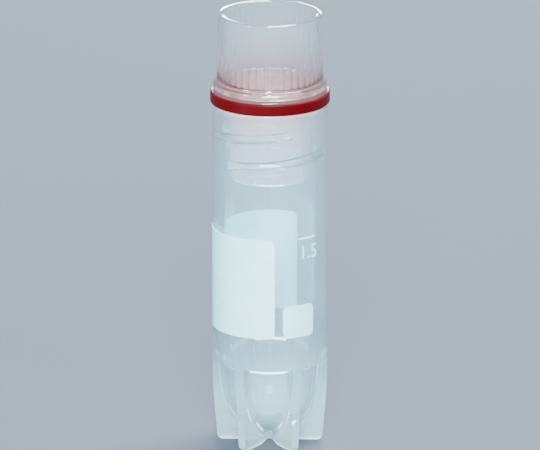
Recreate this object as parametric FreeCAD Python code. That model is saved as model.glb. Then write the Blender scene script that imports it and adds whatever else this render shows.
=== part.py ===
"""A 2 ml cryogenic storage vial, written in millimetres with +Z up.

Three moulded pieces make it up. The vial stands on a star foot of six fins and has a coarse
right-hand thread inside its mouth. The screw cap has a fluted grip with an open recess on top
for a colour insert, a flange, and a hollow threaded plug that goes down into the mouth. A
silicone washer is gripped between the flange and the rim. White ink is printed on the vial.

The origin is on the vial's axis at the level of the surface that it stands on.
"""

import FreeCAD, Part

import math
import os

AXIS = FreeCAD.Vector(0, 0, 1)
ORIGIN = FreeCAD.Vector(0, 0, 0)
LENGTH_TOLERANCE = 0.001

# ---- Vial body ----
body_radius = 6.25
vial_height = 38.3
rim_edge_radius = 0.2
mouth_edge_radius = 0.15
mouth_radius = 5.15
bore_low_radius = 4.98
bore_blend_radius = 12.0
bore_bottom_z = 2.35
bore_end_radius = 4.05
bore_cone_angle = 6.7

# ---- Star foot ----
foot_wall = 0.8
foot_floor = 1.25
foot_height = 9.5
foot_radius = 5.72
foot_taper_height = 6.3
foot_taper_blend_radius = 30.0
foot_turn = 28.0
foot_edge_radius = 0.6
fin_count = 6
fin_thickness = 0.87
pocket_radius = 1.1
foot_relief_radius = 2.4
foot_relief_height = 0.75
foot_relief_edge_radius = 0.3

# ---- Thread ----
thread_pitch = 3.1
thread_turns = 1.25
thread_root_width = 1.1
thread_crest_width = 0.5
thread_flank_clearance = 0.1
thread_radial_clearance = 0.15
thread_seat_overlap = 0.2
thread_start_angle = 212.0
thread_start_above_tip = 1.35
thread_run_out_angle = 14.0

# ---- Screw cap ----
plug_radius = 4.45
plug_length = 8.5
plug_wall = 0.9
plug_draft_angle = 0.6
plug_tip_radius = 0.65
plug_mouth_edge_radius = 0.12
plug_inner_corner_radius = 0.6
flange_radius = 6.2
flange_thickness = 0.95
flange_edge_radius = 0.15
flange_seat_edge_radius = 0.1
flare_height = 0.2
flare_radius = 0.25
grip_height = 7.6
grip_base_radius = 5.8
grip_top_radius = 5.6
grip_rim_radius = 0.15
recess_radius = 5.05
recess_depth = 7.4
recess_corner_radius = 0.3
recess_edge_radius = 0.12
web_thickness = 1.2
flute_count = 42
flute_depth = 0.18
flute_top_depth = 0.05
flute_radius = 0.4
flute_rim_band = 0.75
flute_base_gap = 0.4

# ---- Silicone washer ----
washer_thickness = 1.3
washer_radius = 6.5
washer_bore_clearance = 0.05
washer_edge_radius = 0.22

# ---- Printed ink ----
ink_thickness = 0.04
patch_bottom_z = 13.2
patch_height = 11.2
patch_start_angle = -214.5
patch_end_angle = 4.5
patch_corner_radius = 0.7
spot_start_angle = 13.0
spot_end_angle = 48.0
spot_height = 3.6
spot_corner_radius = 0.6
graduation_start_angle = 29.5
graduation_end_angle = 50.5
graduation_line_height = 0.22

# ---- Levels that follow from the sizes above ----
washer_bottom_z = vial_height
flange_bottom_z = washer_bottom_z + washer_thickness
flange_top_z = flange_bottom_z + flange_thickness
cap_top_z = flange_top_z + grip_height
recess_floor_z = cap_top_z - recess_depth
web_bottom_z = recess_floor_z - web_thickness
plug_tip_z = vial_height - plug_length
thread_depth = mouth_radius - plug_radius - thread_radial_clearance


def vector(radius, z):
    """A point of a profile: its distance from the axis, and its height."""
    return FreeCAD.Vector(radius, 0, z)


def rounded_path(corners):
    """Edges of a path through corners (radius, z, rounding), with an arc at each rounded corner."""
    points = [vector(radius, z) for radius, z, rounding in corners]
    edges = []
    last = points[0]
    for before, corner, after, (_, _, rounding) in zip(points, points[1:], points[2:], corners[1:]):
        if rounding > 0:
            back = (before - corner).normalize()
            ahead = (after - corner).normalize()
            half_angle = back.getAngle(ahead) / 2
            reach = rounding / math.tan(half_angle)
            centre = corner + (back + ahead).normalize() * (rounding / math.sin(half_angle))
            middle = centre + (corner - centre).normalize() * rounding
            start = corner + back * reach
            end = corner + ahead * reach
            edges.append(Part.LineSegment(last, start).toShape())
            edges.append(Part.Arc(start, middle, end).toShape())
            last = end
        else:
            edges.append(Part.LineSegment(last, corner).toShape())
            last = corner
    edges.append(Part.LineSegment(last, points[-1]).toShape())
    return edges


def turned(edges):
    """The solid that a closed profile sweeps when it turns once about the axis."""
    return Part.Face(Part.Wire(edges)).revolve(ORIGIN, AXIS, 360)


def round_end(radius, bottom_z, cone_angle):
    """A ball-shaped end that a cone runs into: (tangent point, arc from there to the axis)."""
    lean = math.radians(cone_angle)
    centre_z = bottom_z + radius
    tangent = vector(radius * math.cos(lean), centre_z - radius * math.sin(lean))
    half_way = (math.pi / 2 + lean) / 2
    middle = vector(radius * math.cos(half_way), centre_z - radius * math.sin(half_way))
    return tangent, Part.Arc(tangent, middle, vector(0, bottom_z)).toShape()


def cone_height(tangent, radius):
    """The height at which the cone above a round end has grown to a radius."""
    return tangent.z + (radius - tangent.x) / math.tan(math.radians(bore_cone_angle))


def cone_radius(tangent, z):
    """The radius of the cone above a round end at a height."""
    return tangent.x + (z - tangent.z) * math.tan(math.radians(bore_cone_angle))


def helical_ridge(root_radius, crest_radius, seat_radius, start_z):
    """One thread ridge: a trapezium carried up a right-hand helix, its ends sloped away.

    The ridge stands between root_radius and crest_radius, and reaches on to seat_radius inside
    the wall that carries it. The crest is nearer the axis than the root on an inside thread.
    """
    slope = (thread_root_width - thread_crest_width) / 2 / (crest_radius - root_radius)
    seat_half_width = thread_root_width / 2 - slope * (seat_radius - root_radius)
    half_crest = thread_crest_width / 2
    section = Part.makePolygon([
        vector(seat_radius, -seat_half_width),
        vector(crest_radius, -half_crest),
        vector(crest_radius, half_crest),
        vector(seat_radius, seat_half_width),
        vector(seat_radius, -seat_half_width),
    ])
    helix = Part.makeHelix(thread_pitch, thread_pitch * thread_turns, plug_radius)
    ridge = Part.Wire(helix.Edges).makePipeShell([section], True, True)
    for angle, way in ((0, 1), (360 * thread_turns, -1)):
        ridge = ridge.cut(run_out(crest_radius, seat_radius, angle, way))
    ridge.rotate(ORIGIN, AXIS, thread_start_angle)
    ridge.translate(AXIS * start_z)
    return ridge


def run_out(crest_radius, seat_radius, angle, way):
    """A wedge that slopes one end of a ridge, from nothing at its seat to the full crest."""
    reach = math.radians(thread_run_out_angle) * crest_radius * way
    overshoot = (crest_radius - seat_radius) * 0.5
    low_z = thread_pitch * angle / 360 - thread_pitch / 2
    wedge_face = Part.Face(Part.makePolygon([
        FreeCAD.Vector(seat_radius - overshoot, -reach, low_z),
        FreeCAD.Vector(seat_radius - overshoot, -reach * 0.5, low_z),
        FreeCAD.Vector(crest_radius + overshoot, reach * 1.5, low_z),
        FreeCAD.Vector(crest_radius + overshoot, -reach, low_z),
        FreeCAD.Vector(seat_radius - overshoot, -reach, low_z),
    ]))
    wedge = wedge_face.extrude(AXIS * thread_pitch)
    wedge.rotate(ORIGIN, AXIS, angle)
    return wedge


def thread_offset():
    """How far the vial's ridge lies above the cap's, so that their flanks almost touch."""
    slope = (thread_root_width - thread_crest_width) / 2 / thread_depth
    meeting_width = thread_root_width - slope * (mouth_radius - plug_radius)
    return meeting_width + thread_flank_clearance


def vial_blank():
    """The vial turned in the round: foot, wall, rim and the round-ended bore."""
    outside = [
        (0, foot_relief_height, 0),
        (foot_relief_radius, 0, foot_relief_edge_radius),
        (foot_radius, 0, foot_edge_radius),
        (body_radius, foot_taper_height, foot_taper_blend_radius),
        (body_radius, vial_height, rim_edge_radius),
    ]
    tangent, end_arc = round_end(bore_end_radius, bore_bottom_z, bore_cone_angle)
    inside = [
        (mouth_radius, vial_height, mouth_edge_radius),
        (bore_low_radius, cone_height(tangent, bore_low_radius), bore_blend_radius),
        (tangent.x, tangent.z, 0),
    ]
    closing = Part.LineSegment(vector(0, bore_bottom_z), vector(0, foot_relief_height)).toShape()
    return turned(rounded_path(outside + inside) + [end_arc, closing])


def pocket_corners(pocket, apex):
    """The edges of a pocket beside its two fins and round its ceiling."""
    half_angle = math.pi / fin_count
    corners = []
    for edge in pocket.Edges:
        middle = edge.valueAt((edge.FirstParameter + edge.LastParameter) / 2)
        radius = math.hypot(middle.x, middle.y)
        off_fin = (middle.x - apex) * math.sin(half_angle) - abs(middle.y) * math.cos(half_angle)
        beside_fin = abs(off_fin) < LENGTH_TOLERANCE
        at_ceiling = abs(middle.z - foot_height) < LENGTH_TOLERANCE
        in_reach = apex + LENGTH_TOLERANCE < radius < body_radius
        if in_reach and middle.z > 0 and (beside_fin or at_ceiling):
            corners.append(edge)
    return corners


def foot_pockets():
    """The six spaces between the fins of the foot, around the round end of the bore."""
    margin = 1.0
    tangent, end_arc = round_end(bore_end_radius + foot_wall, bore_bottom_z - foot_floor, bore_cone_angle)
    around_end = rounded_path([
        (0, -margin, 0),
        (body_radius + margin, -margin, 0),
        (body_radius + margin, foot_height, 0),
        (cone_radius(tangent, foot_height), foot_height, 0),
        (tangent.x, tangent.z, 0),
    ])
    closing = Part.LineSegment(vector(0, bore_bottom_z - foot_floor), vector(0, -margin)).toShape()
    half_angle = math.pi / fin_count
    apex = fin_thickness / 2 / math.sin(half_angle)
    reach = 2 * body_radius
    narrow_end = FreeCAD.Vector(apex, 0, -2 * margin)
    one_side = narrow_end + FreeCAD.Vector(math.cos(half_angle), math.sin(half_angle), 0) * reach
    other_side = narrow_end + FreeCAD.Vector(math.cos(half_angle), -math.sin(half_angle), 0) * reach
    wedge_face = Part.Face(Part.makePolygon([narrow_end, other_side, one_side, narrow_end]))
    wedge = wedge_face.extrude(AXIS * (foot_height + 4 * margin))
    pocket = turned(around_end + [end_arc, closing]).common(wedge)
    pocket = pocket.makeFillet(pocket_radius, pocket_corners(pocket, apex))
    pockets = []
    for number in range(fin_count):
        copy = pocket.copy()
        copy.rotate(ORIGIN, AXIS, foot_turn + number * 360 / fin_count)
        pockets.append(copy)
    return pockets


def make_vial():
    vial = vial_blank().cut(foot_pockets())
    ridge = helical_ridge(
        mouth_radius,
        mouth_radius - thread_depth,
        mouth_radius + thread_seat_overlap,
        plug_tip_z + thread_start_above_tip + thread_offset(),
    )
    return vial.fuse(ridge)


def cap_blank():
    """The cap turned in the round: hollow plug, flange, grip and the recess on top."""
    plug_bore_mouth = plug_radius - plug_wall
    plug_bore_depth = web_bottom_z - plug_tip_z
    plug_bore_end = plug_bore_mouth - plug_bore_depth * math.tan(math.radians(plug_draft_angle))
    path = rounded_path([
        (0, web_bottom_z, 0),
        (plug_bore_end, web_bottom_z, plug_inner_corner_radius),
        (plug_bore_mouth, plug_tip_z, plug_mouth_edge_radius),
        (plug_radius, plug_tip_z, plug_tip_radius),
        (plug_radius, flange_bottom_z, 0),
        (flange_radius, flange_bottom_z, flange_seat_edge_radius),
        (flange_radius, flange_top_z, flange_edge_radius),
        (grip_base_radius, flange_top_z + flare_height, flare_radius),
        (grip_top_radius, cap_top_z, grip_rim_radius),
        (recess_radius, cap_top_z, recess_edge_radius),
        (recess_radius, recess_floor_z, recess_corner_radius),
        (0, recess_floor_z, 0),
    ])
    closing = Part.LineSegment(vector(0, recess_floor_z), vector(0, web_bottom_z)).toShape()
    return turned(path + [closing])


def flutes():
    """The round-bottomed flutes between the grip's ribs.

    A flute is deepest at its foot and almost fades away below the rim, because the grip leans in
    more than the flute does. That is the draft that lets the cap out of its mould.
    """
    foot_z = flange_top_z + flute_base_gap
    top_z = cap_top_z - flute_rim_band
    narrowing = (grip_base_radius - grip_top_radius) / (grip_height - flare_height)
    top_grip_radius = grip_base_radius - narrowing * (top_z - foot_z)
    foot = vector(grip_base_radius - flute_depth + flute_radius, foot_z)
    top = vector(top_grip_radius - flute_top_depth + flute_radius, top_z)
    cutter = Part.makeCylinder(flute_radius, (top - foot).Length, foot, top - foot)
    cutters = []
    for number in range(flute_count):
        copy = cutter.copy()
        copy.rotate(ORIGIN, AXIS, number * 360 / flute_count)
        cutters.append(copy)
    return cutters


def make_cap():
    cap = cap_blank().cut(flutes())
    ridge = helical_ridge(
        plug_radius,
        plug_radius + thread_depth,
        plug_radius - thread_seat_overlap,
        plug_tip_z + thread_start_above_tip,
    )
    return cap.fuse(ridge)


def make_washer():
    bore = plug_radius + washer_bore_clearance
    path = rounded_path([
        ((bore + washer_radius) / 2, washer_bottom_z, 0),
        (washer_radius, washer_bottom_z, washer_edge_radius),
        (washer_radius, flange_bottom_z, washer_edge_radius),
        (bore, flange_bottom_z, 0),
        (bore, washer_bottom_z, 0),
        ((bore + washer_radius) / 2, washer_bottom_z, 0),
    ])
    return turned(path)


def ink_field(start_angle, end_angle, bottom_z, height, corner_radius):
    """A field of ink on the wall between two angles, counted from -Y towards +X."""
    strip = Part.makePolygon([
        vector(body_radius, bottom_z),
        vector(body_radius + ink_thickness, bottom_z),
        vector(body_radius + ink_thickness, bottom_z + height),
        vector(body_radius, bottom_z + height),
        vector(body_radius, bottom_z),
    ])
    field = Part.Face(strip).revolve(ORIGIN, AXIS, end_angle - start_angle)
    if corner_radius > 0:
        for angle, side in ((0, 1), (end_angle - start_angle, -1)):
            for edge_z, way in ((bottom_z, 1), (bottom_z + height, -1)):
                field = field.cut(ink_corner(angle, side, edge_z, way, corner_radius))
    field.rotate(ORIGIN, AXIS, start_angle - 90)
    return field


def ink_corner(angle, side, edge_z, way, corner_radius):
    """What rounding takes off one corner of a field of ink: a square less a quarter circle."""
    inside = body_radius / 2
    centre = FreeCAD.Vector(inside, side * corner_radius, edge_z + way * corner_radius)
    square = Part.makeBox(body_radius, corner_radius, corner_radius)
    square.translate(FreeCAD.Vector(
        inside,
        min(0, side * corner_radius),
        min(edge_z, edge_z + way * corner_radius),
    ))
    corner = square.cut(Part.makeCylinder(corner_radius, body_radius, centre, FreeCAD.Vector(1, 0, 0)))
    corner.rotate(ORIGIN, AXIS, angle)
    return corner


def make_print():
    line_z = patch_bottom_z + patch_height - graduation_line_height
    return Part.makeCompound([
        ink_field(patch_start_angle, patch_end_angle, patch_bottom_z, patch_height, patch_corner_radius),
        ink_field(spot_start_angle, spot_end_angle, patch_bottom_z, spot_height, spot_corner_radius),
        ink_field(graduation_start_angle, graduation_end_angle, line_z, graduation_line_height, 0),
    ])


def main():
    os.makedirs("parts", exist_ok=True)
    nodes = {
        "vial": make_vial(),
        "screw_cap": make_cap(),
        "sealing_washer": make_washer(),
        "printed_marks": make_print(),
    }
    for name, shape in nodes.items():
        print(name, "valid", shape.isValid(), "solids", len(shape.Solids), "volume", round(shape.Volume, 2))
        shape.exportStep(f"parts/{name}.step")


main()
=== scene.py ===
# %% [markdown]
# # A 2 ml cryovial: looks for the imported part
#
# A cryovial is a small clear plastic tube that keeps cells or serum in liquid nitrogen. This script
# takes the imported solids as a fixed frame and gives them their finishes: clear polypropylene for the
# vial and its cap, red silicone for the sealing washer, and white screen-printed ink for the marks.
# It adds one small piece of its own, the printed number beside the graduation line.
# Lengths are in metres, +Z is up, and the vial stands on z = 0 with its axis on the origin.

import math

import bpy
import numpy as np
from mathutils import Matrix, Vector


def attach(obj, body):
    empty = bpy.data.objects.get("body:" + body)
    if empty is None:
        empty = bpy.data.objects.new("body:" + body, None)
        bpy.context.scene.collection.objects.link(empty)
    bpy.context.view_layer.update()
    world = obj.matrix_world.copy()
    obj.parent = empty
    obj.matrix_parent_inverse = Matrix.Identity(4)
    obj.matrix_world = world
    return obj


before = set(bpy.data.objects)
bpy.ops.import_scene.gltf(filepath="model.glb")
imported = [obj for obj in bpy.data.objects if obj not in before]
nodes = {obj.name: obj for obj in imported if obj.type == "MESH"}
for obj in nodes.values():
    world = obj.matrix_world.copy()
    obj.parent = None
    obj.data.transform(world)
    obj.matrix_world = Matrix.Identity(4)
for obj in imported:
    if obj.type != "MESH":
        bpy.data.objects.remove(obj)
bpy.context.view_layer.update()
MM = 0.001
print("nodes:", {name: len(node.data.polygons) for name, node in nodes.items()})

# %% [markdown]
# ## Shader maths as plain expressions
#
# A node tree is easier to read as a formula. `Signal` wraps one output socket, and the usual
# operators on it add Math nodes. Colours and vectors don't survive a Math node, so they go through
# Mix nodes. Every other node comes from `node`, which sets the node's settings first and then fills
# its sockets: a number or a colour is set, and a signal is linked.


# %% Signal
class Signal:
    """One output socket of a node tree, which can be used in sums."""

    def __init__(self, tree, socket=None):
        self.tree = tree
        self.socket = socket

    def node(self, kind, settings=None, inputs=None, output=0):
        """Adds a node, applies its settings, fills its sockets, and returns one of its outputs."""
        made = self.tree.nodes.new(kind)
        for key, value in (settings or {}).items():
            if key == "stops":
                set_stops(made.color_ramp.elements, value)
            else:
                setattr(made, key, value)
        for key, value in (inputs or {}).items():
            if isinstance(value, Signal):
                self.tree.links.new(value.socket, made.inputs[key])
            else:
                made.inputs[key].default_value = value
        return Signal(self.tree, made.outputs[output])

    def math(self, operation, *values):
        return self.node("ShaderNodeMath", {"operation": operation}, dict(enumerate(values)))

    def __add__(self, other):
        return self.math("ADD", self, other)

    def __sub__(self, other):
        return self.math("SUBTRACT", self, other)

    def __rsub__(self, other):
        return self.math("SUBTRACT", other, self)

    def __mul__(self, other):
        return self.math("MULTIPLY", self, other)

    __radd__ = __add__
    __rmul__ = __mul__

    def clamped(self):
        """The value, held between 0 and 1."""
        return self.node("ShaderNodeClamp", inputs={0: self})

    def step(self, low, high):
        """0 below low and 1 above high, with a smooth rise between them."""
        settings = {"interpolation_type": "SMOOTHSTEP"}
        return self.node("ShaderNodeMapRange", settings, {0: self, 1: low, 2: high})

    def color(self, low, high):
        """The colour low where this value is 0, and the colour high where it is 1."""
        ends = [end if isinstance(end, Signal) else (*end, 1) for end in (low, high)]
        inputs = {0: self, 6: ends[0], 7: ends[1]}
        return self.node("ShaderNodeMix", {"data_type": "RGBA"}, inputs, output=2)

    def blend(self, low, high):
        """The shader low where this value is 0, and the shader high where it is 1."""
        return self.node("ShaderNodeMixShader", inputs={0: self, 1: low, 2: high})


def set_stops(points, stops):
    """Gives a colour ramp its stops. Each is (position, colour, alpha)."""
    while len(points) < len(stops):
        points.new(1.0)
    for point, (position, color, alpha) in zip(points, stops):
        point.position = position
        point.color = (*color, alpha)


# %% [markdown]
# ## Helpers that every finish uses
#
# Each finish below starts as an empty material, gets one Principled shader or a mix of two, and is
# plugged into the output. Its unevenness comes from noise on Object coordinates, which stays put on
# the plastic when the cap turns and rises.


# %% Material helpers
def new_material(name):
    """A material that holds only its output. Returns (material, object coordinates)."""
    material = bpy.data.materials.new(name)
    material.use_nodes = True
    tree = material.node_tree
    tree.nodes.remove(tree.nodes["Principled BSDF"])
    return material, Signal(tree).node("ShaderNodeTexCoord", output="Object")


def principled(place, **sockets):
    """A Principled shader. A keyword has _ where the socket's name has a space."""
    inputs = {key.replace("_", " "): value for key, value in sockets.items()}
    return place.node("ShaderNodeBsdfPrincipled", inputs=inputs)


def finish_with(material, surface):
    """Plugs a shader into the material's output."""
    tree = material.node_tree
    tree.links.new(surface.socket, tree.nodes["Material Output"].inputs["Surface"])
    return material


def noise(place, scale, detail=2.0, stretch=(1, 1, 1)):
    """Soft noise between 0 and 1. scale is in blobs a metre, and stretch squeezes it along an axis."""
    squeezed = place.node("ShaderNodeMapping", inputs={"Vector": place, "Scale": stretch})
    inputs = {"Vector": squeezed, "Scale": scale, "Detail": detail}
    return place.node("ShaderNodeTexNoise", inputs=inputs)


def bump(height, strength, distance):
    """A bumped normal from a height."""
    inputs = {"Height": height, "Strength": strength, "Distance": distance}
    return height.node("ShaderNodeBump", inputs=inputs)


# %% [markdown]
# ## Clear polypropylene
#
# Both mouldings are natural polypropylene: clear, but slightly milky, because the plastic is partly
# crystalline. It could be faked with a low Alpha, but then nothing bends behind it. Here a glassy
# shader refracts, a milky one scatters, and a Mix Shader sets their shares.
#
# The haze isn't even. The solid foot is thick, so it looks cloudier than the thin wall above it, and
# its lowest edge is painted whiter: a painted highlight where the bottom edges catch the light. Near
# the washer the plastic is painted a pale red: a painted glow standing in for the washer's red light.
# All of that goes by height, so it is written as a short list of stops up the axis, which a colour
# ramp turns into a colour and, in its alpha, a share of haze. Noise then makes both a little uneven,
# as in a real moulding. Flow lines from the mould vary the roughness, and a bump of a few microns
# keeps the highlights alive.


# %% Height bands
def by_height(height, stops):
    """The colour and the share at a height. Each stop is (height in mm, colour, share)."""
    low, high = stops[0][0] * MM, stops[-1][0] * MM
    placed = [((level * MM - low) / (high - low), color, share) for level, color, share in stops]
    along = height.node("ShaderNodeMapRange", inputs={0: height, 1: low, 2: high})
    color = height.node("ShaderNodeValToRGB", {"stops": placed}, {0: along})
    return color, Signal(height.tree, color.socket.node.outputs["Alpha"])


# %% [markdown]
# ## Lamps and clear plastic
#
# Refracting plastic stops every ray that looks for a lamp, so the walls on the inside would lie in
# full shadow. `let_lamps_through` gives those rays a way through. The walls dim a lamp a little, and
# the foot dims it more and more towards the floor, so the vial still stands on a dark shadow.

# %% A way through for lamps
dark_foot_z = 0.0
pale_wall_z = 0.012
foot_dimming = (0.11, 0.11, 0.11)
wall_dimming = (0.66, 0.68, 0.70)


def see_through(place, color):
    """A Transparent shader, which only tints what passes it."""
    return place.node("ShaderNodeBsdfTransparent", inputs={"Color": (*color, 1)})


def let_lamps_through(surface, place, height):
    """Lets the rays that look for a lamp go through the plastic, dimmed by the height on the vial."""
    up = height.step(dark_foot_z, pale_wall_z)
    dimming = up.blend(see_through(place, foot_dimming), see_through(place, wall_dimming))
    looks_for_lamp = place.node("ShaderNodeLightPath", output="Is Shadow Ray")
    return looks_for_lamp.blend(surface, dimming)


# %% Clear plastic
plastic_ior = 1.49
flow_scale, flow_stretch = 160, (1, 1, 0.25)
cloud_scale = 70
grain_scale = 2600
cloud_share, flow_share = 0.6, 0.4
least_haze, haze_swing = 0.8, 0.4
smoothest, flow_roughness, grain_roughness = 0.03, 0.04, 0.02
flow_height, grain_height = 0.8, 0.2
ripple_strength, ripple_depth = 0.25, 0.02 * MM
coat_roughness = 0.03


def clear_plastic(name, depth, stops):
    """Moulded clear plastic.

    The stops give its milky colour and its haze up the axis. depth is how much of that colour the
    refracting shader takes on as well."""
    material, place = new_material(name)
    height = place.node("ShaderNodeSeparateXYZ", inputs={0: place}, output="Z")
    flow = noise(place, flow_scale, detail=3, stretch=flow_stretch)
    cloud = noise(place, cloud_scale)
    grain = noise(place, grain_scale)
    patchy = (cloud * cloud_share + flow * flow_share).step(0.3, 0.7)
    uneven = patchy * haze_swing + least_haze
    milk, haze = by_height(height, stops)
    gloss = dict(
        Roughness=flow * flow_roughness + grain * grain_roughness + smoothest,
        Normal=bump(flow * flow_height + grain * grain_height, ripple_strength, ripple_depth),
        IOR=plastic_ior,
        Coat_Weight=1.0,
        Coat_Roughness=coat_roughness,
    )
    tint = (uneven * depth).color((1, 1, 1), milk)
    clear = principled(place, Base_Color=tint, Transmission_Weight=1.0, **gloss)
    milky = principled(place, Base_Color=milk, **gloss)
    surface = (uneven * haze).blend(clear, milky)
    return finish_with(material, let_lamps_through(surface, place, height))


# %% [markdown]
# ## The two mouldings
#
# The vial and its cap are the same plastic, but they don't look the same. The vial is milky in its
# foot and clearest half way up. The cap hardly scatters, but it stands over a red washer, so its
# flange is painted warm, a painted glow standing in for the washer's red light, and its grip fades
# back to a cool grey. The vial's mouth under the washer gets the same painted red glow.


# %% The two mouldings
vial_tint, cap_tint = 0.13, 0.45
# painted highlight: the whiter, hazier colour of the foot's lowest edge, where the edges catch the
# light
painted_edge_highlight = (0.80, 0.98, 1.0)
foot_milk = (0.46, 0.66, 0.66)
wall_milk = (0.62, 0.95, 1.0)
# painted red glow: stands in for the washer's red light in the clear plastic
painted_red_glow = (1.0, 0.72, 0.72)
vial_stops = [
    # the lowest two stops paint the bottom edge whiter: a painted highlight
    (0.0, painted_edge_highlight, 0.65),
    (0.15, painted_edge_highlight, 0.55),
    (0.35, foot_milk, 0.42),
    (3.5, foot_milk, 0.38),
    (7.0, (0.60, 0.93, 0.98), 0.10),
    (13.0, wall_milk, 0.07),
    (33.0, wall_milk, 0.07),
    # the mouth under the washer is painted red: a painted glow of the washer's light
    (37.7, (1.0, 0.90, 0.92), 0.08),
    (38.1, painted_red_glow, 0.40),
    (38.3, painted_red_glow, 0.40),
]
cap_stops = [
    (29.0, (1.0, 0.95, 1.0), 0.11),
    # from here up to 43 mm the cap is painted red: a painted glow of the washer's light
    (38.2, (1.0, 0.88, 0.90), 0.11),
    (39.4, (1.0, 0.52, 0.44), 0.10),
    (40.5, (1.0, 0.50, 0.42), 0.10),
    # less haze from 40.9 to 41.6 mm makes the plastic by the recess floor darker: painted shade
    (40.9, (1.0, 0.42, 0.35), 0.02),
    (41.6, (1.0, 0.52, 0.48), 0.02),
    (43.0, (1.0, 0.89, 0.88), 0.042),
    (44.5, (0.95, 0.96, 0.97), 0.04),
    (48.0, (0.88, 0.97, 1.0), 0.04),
]
vial_plastic = clear_plastic("clear_vial_plastic", vial_tint, vial_stops)
cap_plastic = clear_plastic("clear_cap_plastic", cap_tint, cap_stops)
print("clear plastics:", vial_plastic.name, cap_plastic.name)

# %% [markdown]
# ## Red silicone
#
# The washer is moulded silicone rubber: dark crimson, with a soft sheen, a little light soaking in at
# its edges, and a fine matt grain. Dust that clings to silicone makes its roughness uneven.


# %% Silicone
deep_red, dusty_red = (0.070, 0.0, 0.001), (0.082, 0.0, 0.001)
dust_scale = 300
silicone_grain_scale = 6000
red_soak = (0.6 * MM, 0.1 * MM, 0.1 * MM)
fine_grain_strength, fine_grain_depth = 0.3, 0.01 * MM


def red_silicone():
    """Dark rubber: dust changes its red and its roughness, and a fine grain bumps it."""
    material, place = new_material("red_silicone")
    dust = noise(place, dust_scale)
    grain = noise(place, silicone_grain_scale)
    surface = principled(
        place,
        Base_Color=dust.step(0.3, 0.7).color(deep_red, dusty_red),
        Roughness=0.34 + dust * 0.1 + grain * 0.08,
        Normal=bump(grain, fine_grain_strength, fine_grain_depth),
        Specular_IOR_Level=0.10,
        Subsurface_Weight=0.15,
        Subsurface_Radius=red_soak,
        Subsurface_Scale=1.0,
    )
    return finish_with(material, surface)


silicone = red_silicone()
print("washer:", silicone.name)

# %% [markdown]
# ## White ink
#
# The writing patch is screen-printed: one pass of white ink, slightly thinner in places, so that the
# plastic behind it shows through as a faint cloudiness. Its surface is matt, to take a pencil, and
# the mesh of the screen leaves a fine dot texture. Fine strokes, such as the graduation line and its
# number, take less ink than a wide area, so they come out fainter.


# %% Ink
thin_white, full_white = (0.56, 0.98, 0.96), (0.60, 1.0, 0.98)
ink_cloud_scale = 420
screen_scale = 9000
least_cover, cloud_cover, dot_cover = 0.8, 0.14, 0.04
fine_mark_loss = 0.25


def where_fine_marks_are(place):
    """1 on the front right of the wall and above 20 mm, where the thin strokes are, else 0."""
    x, y, z = (place.node("ShaderNodeSeparateXYZ", inputs={0: place}, output=axis) for axis in "XYZ")
    return x.step(2.4 * MM, 2.8 * MM) * (1 - y.step(0, 0.5 * MM)) * z.step(19 * MM, 20 * MM)


def white_ink():
    """Matt ink: its cover is uneven from the squeegee and the screen, and less on thin strokes."""
    material, place = new_material("white_ink")
    cloud = noise(place, ink_cloud_scale, detail=3)
    mesh_dots = noise(place, screen_scale)
    full_cover = least_cover + cloud.step(0.25, 0.75) * cloud_cover + mesh_dots * dot_cover
    cover = full_cover - where_fine_marks_are(place) * fine_mark_loss
    surface = principled(
        place,
        Base_Color=cloud.color(thin_white, full_white),
        Alpha=cover.clamped(),
        Roughness=0.5 + mesh_dots * 0.2,
        Normal=bump(mesh_dots, fine_grain_strength, fine_grain_depth),
        Specular_IOR_Level=0.3,
    )
    return finish_with(material, surface)


ink = white_ink()
print("print:", ink.name)

# %% [markdown]
# ## Dressing the solids
#
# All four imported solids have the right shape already, so none is replaced. Each one's mesh only gets
# the finish made for it.


# %% Give the solids their finishes
finishes = {
    "vial": vial_plastic,
    "screw_cap": cap_plastic,
    "sealing_washer": silicone,
    "printed_marks": ink,
}
for name, finish in finishes.items():
    mesh = nodes[name].data
    mesh.materials.clear()
    mesh.materials.append(finish)
print("finished:", sorted(finishes))

# %% [markdown]
# ## The number at the graduation line
#
# The short line on the right of the vial marks a fill level, and a small number under it says which.
# It is printed with the same ink. Lettering is easiest as a text curve. That curve is flat, so it is
# made a thin solid mesh first, and then numpy rolls its points round the wall. Each digit is narrow
# enough that its flat faces follow the wall to a hundredth of a millimetre.

# %% Flat digits
def flat_text_mesh(text, size, thickness):
    """The text as a closed flat mesh, centred on x = 0, standing on y = 0, half its thickness each
    side of z = 0."""
    curve = bpy.data.curves.new("number_curve", "FONT")
    curve.body = text
    curve.size = size
    curve.align_x = "CENTER"
    curve.extrude = thickness / 2
    curve.resolution_u = 6
    letters = bpy.data.objects.new("number_curve", curve)
    mesh = bpy.data.meshes.new_from_object(letters)
    bpy.data.objects.remove(letters)
    return mesh


# %% Digits rolled round the wall
def roll_round_wall(mesh, radius, azimuth, base_z):
    """Rolls a flat mesh round the z axis.

    x becomes an arc: a point at x goes to the angle azimuth + x / radius, counted from -Y towards +X.
    y becomes height above base_z, and depth becomes distance outwards from the wall."""
    flat = np.empty(len(mesh.vertices) * 3)
    mesh.vertices.foreach_get("co", flat)
    across, up, out = flat.reshape(-1, 3).T
    turn = math.radians(azimuth) + across / radius
    reach = radius + out - out.min()
    points = np.stack([reach * np.sin(turn), -reach * np.cos(turn), base_z + up], axis=-1)
    mesh.vertices.foreach_set("co", points.reshape(-1))
    mesh.update()


# %% Printed number
wall_radius = 6.25 * MM
ink_thickness = 0.04 * MM
number_text = "1.5"
number_size = 2.15 * MM
number_azimuth = 42.0
number_base_z = 21.95 * MM

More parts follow.
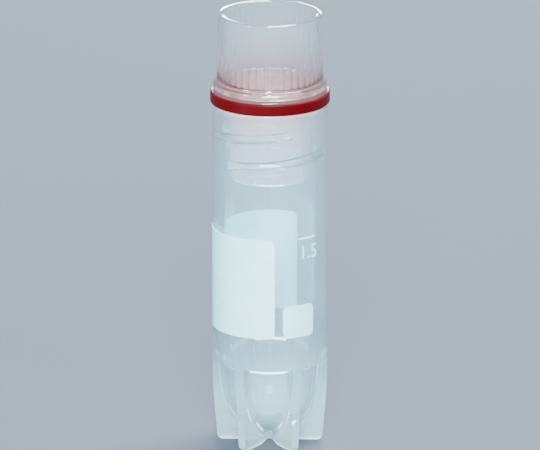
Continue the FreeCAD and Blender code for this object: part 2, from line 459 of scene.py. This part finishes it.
number_mesh = flat_text_mesh(number_text, number_size, ink_thickness)
roll_round_wall(number_mesh, wall_radius, number_azimuth, number_base_z)
number_mesh.materials.clear()
number_mesh.materials.append(ink)
number = bpy.data.objects.new("volume_number", number_mesh)
bpy.context.scene.collection.objects.link(number)
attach(number, "vial_body")
print("volume_number:", len(number_mesh.polygons), "faces")

# %% [markdown]
# ## Floor, light and camera
#
# A clear object is drawn by what stands round it, so the surroundings are plain and pale: a wide
# floor and an even sky of the same tone. A large soft light in front brings out the white ink, and
# one high behind glints on the cap's rim. A low one behind shines through the plug, the thread and
# the tops of the foot's pockets. Two small ones at the sides pick out the edges. They all stand
# farther off than the camera, so that none gets between it and the vial when the view turns.


# %% Floor and sky
paper_scale = 6
paper_tones = (0.068, 0.073, 0.084), (0.072, 0.077, 0.088)
sky_color = (0.60, 0.79, 1.0)
sky_strength = 0.86


def flat_grid(name, width, steps):
    """A level square in the plane z = 0: x and y each run evenly from -width/2 to width/2."""
    side = np.linspace(-width / 2, width / 2, steps + 1)
    x, y = np.meshgrid(side, side, indexing="ij")
    points = np.stack([x, y, np.zeros_like(x)], axis=-1).reshape(-1, 3)
    corner = np.arange(steps * (steps + 1)).reshape(steps, steps + 1)[:, :-1].reshape(-1)
    quads = np.stack([corner, corner + steps + 1, corner + steps + 2, corner + 1], axis=-1)
    mesh = bpy.data.meshes.new(name)
    mesh.from_pydata(points.tolist(), [], quads.tolist())
    made = bpy.data.objects.new(name, mesh)
    bpy.context.scene.collection.objects.link(made)
    return made


def pale_paper():
    """Matt paper whose tone drifts a little from place to place."""
    material, place = new_material("pale_paper")
    tone = noise(place, paper_scale).color(*paper_tones)
    surface = principled(place, Base_Color=tone, Roughness=0.9, Specular_IOR_Level=0.2)
    return finish_with(material, surface)


floor = flat_grid("floor", width=4.0, steps=4)
floor.data.materials.append(pale_paper())

world = bpy.data.worlds.new("studio")
bpy.context.scene.world = world
world.use_nodes = True
sky = world.node_tree.nodes["Background"]
sky.inputs["Color"].default_value = (*sky_color, 1)
sky.inputs["Strength"].default_value = sky_strength
print("stage:", floor.name, world.name)

# %% Lights
middle = Vector((0, 0, 0.024))
light_distance = 1.1
light_color = (0.74, 0.87, 1.0)


def direction(azimuth, elevation):
    """The way to a light or the camera. azimuth counts from -Y towards +X, in degrees."""
    turn, rise = math.radians(azimuth), math.radians(elevation)
    level = math.cos(rise)
    return Vector((math.sin(turn) * level, -math.cos(turn) * level, math.sin(rise)))


def place_facing(made, target, way, distance):
    """Puts a light or camera at that distance from the target, looking at it."""
    made.location = target + way * distance
    made.rotation_euler = (-way).to_track_quat("-Z", "Y").to_euler()
    bpy.context.scene.collection.objects.link(made)


def soft_light(name, azimuth, elevation, size, power):
    """A soft box, size = (width, height), that looks at the middle of the vial."""
    data = bpy.data.lights.new(name, "AREA")
    data.shape = "RECTANGLE"
    data.size, data.size_y = size
    data.energy = power
    data.color = light_color
    lamp = bpy.data.objects.new(name, data)
    place_facing(lamp, middle, direction(azimuth, elevation), light_distance)


soft_light("front_light", azimuth=0, elevation=32, size=(0.37, 0.37), power=49)
soft_light("right_light", azimuth=37, elevation=24, size=(0.15, 0.15), power=5)
soft_light("left_light", azimuth=-50, elevation=6, size=(0.24, 0.24), power=10)
soft_light("top_light", azimuth=145, elevation=68, size=(0.37, 0.37), power=54)
soft_light("back_light", azimuth=180, elevation=4, size=(0.20, 0.30), power=32)
print("lights:", len(bpy.data.lights))

# %% Camera
film_width = 36
focal_length = 551.4
camera_distance = 0.9
camera_elevation = 16.3
camera_target = Vector((0, 0, 0.0243))

camera_data = bpy.data.cameras.new("camera")
camera_data.sensor_width = film_width
camera_data.lens = focal_length
camera_data.clip_start = 0.05
camera_data.clip_end = 10
camera = bpy.data.objects.new("camera", camera_data)
place_facing(camera, camera_target, direction(0, camera_elevation), camera_distance)
bpy.context.scene.camera = camera
print("camera:", [round(value, 4) for value in camera.location])
